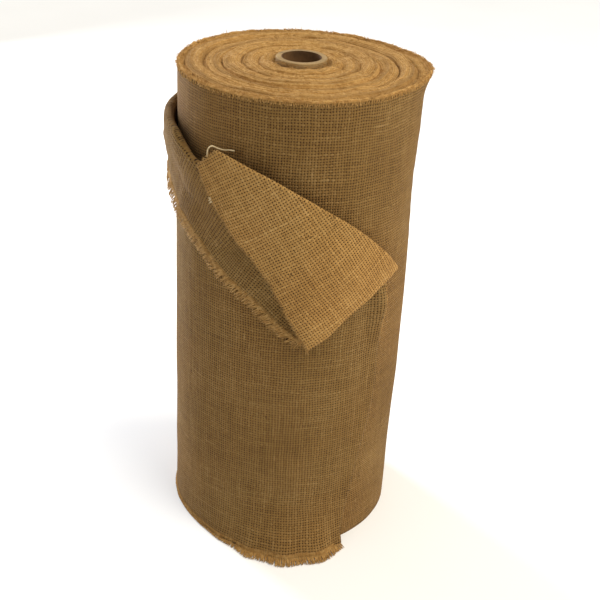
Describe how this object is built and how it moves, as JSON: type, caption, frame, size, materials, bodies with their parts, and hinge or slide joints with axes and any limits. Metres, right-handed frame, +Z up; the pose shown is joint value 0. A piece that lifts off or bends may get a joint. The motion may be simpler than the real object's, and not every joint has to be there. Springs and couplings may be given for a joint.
{
  "type": "roll of woven jute cloth on a cardboard core",
  "caption": "Standing roll of natural woven jute cloth wound on a cardboard tube, its loose last turn folded down at the corner with frayed edges.",
  "frame": {"origin": "on the roll's axis at the base it stands on, at the lower end of the core's bore", "axes": "+Z up the roll's axis; -Y is the side on which the loose corner hangs; +X to the right of it"},
  "size_m": [0.2543, 0.2612, 0.5045],
  "materials": {
    "core_board": "matt wound paper board",
    "wound_jute": "open plain weave of natural jute yarn, matt and hairy",
    "loose_jute": "open plain weave of natural jute yarn, matt and hairy",
    "jute_yarn": "single twisted jute yarn, matt and hairy"
  },
  "bodies": {
    "roll": {"core_tube": "core_board", "inner_turns": "wound_jute", "second_turns": "wound_jute", "middle_turns": "wound_jute", "fourth_turns": "wound_jute", "outer_turns": "wound_jute", "last_turns": "wound_jute", "loose_turn_root": "loose_jute", "diagonal_fold_root": "loose_jute"},
    "loose_turn": {"loose_turn_left": "loose_jute", "loose_turn_front": "loose_jute", "turned_under_end": "loose_jute", "end_fold": "loose_jute", "diagonal_fold_left": "loose_jute", "diagonal_fold_front": "loose_jute", "cuff_left": "loose_jute", "cuff_front": "loose_jute", "flap_upper": "loose_jute", "frayed_edge_left": "jute_yarn", "frayed_edge_front": "jute_yarn", "foot_fringe": "jute_yarn", "loose_yarn": "jute_yarn"},
    "corner": {"cuff_corner": "loose_jute", "flap_corner": "loose_jute", "frayed_edge_corner": "jute_yarn"}
  },
  "joints": [
    {"name": "loose_turn_peel", "type": "hinge", "parent": "roll", "child": "loose_turn", "pos_m": [-0.10622, 0.05648, 0.25], "axis": [0, 0, -1], "range_deg": [0, 35]},
    {"name": "corner_lift", "type": "hinge", "parent": "loose_turn", "child": "corner", "pos_m": [0.02, -0.1254, 0.35], "axis": [-0.9, 0, 0.436], "range_deg": [0, 75]}
  ]
}
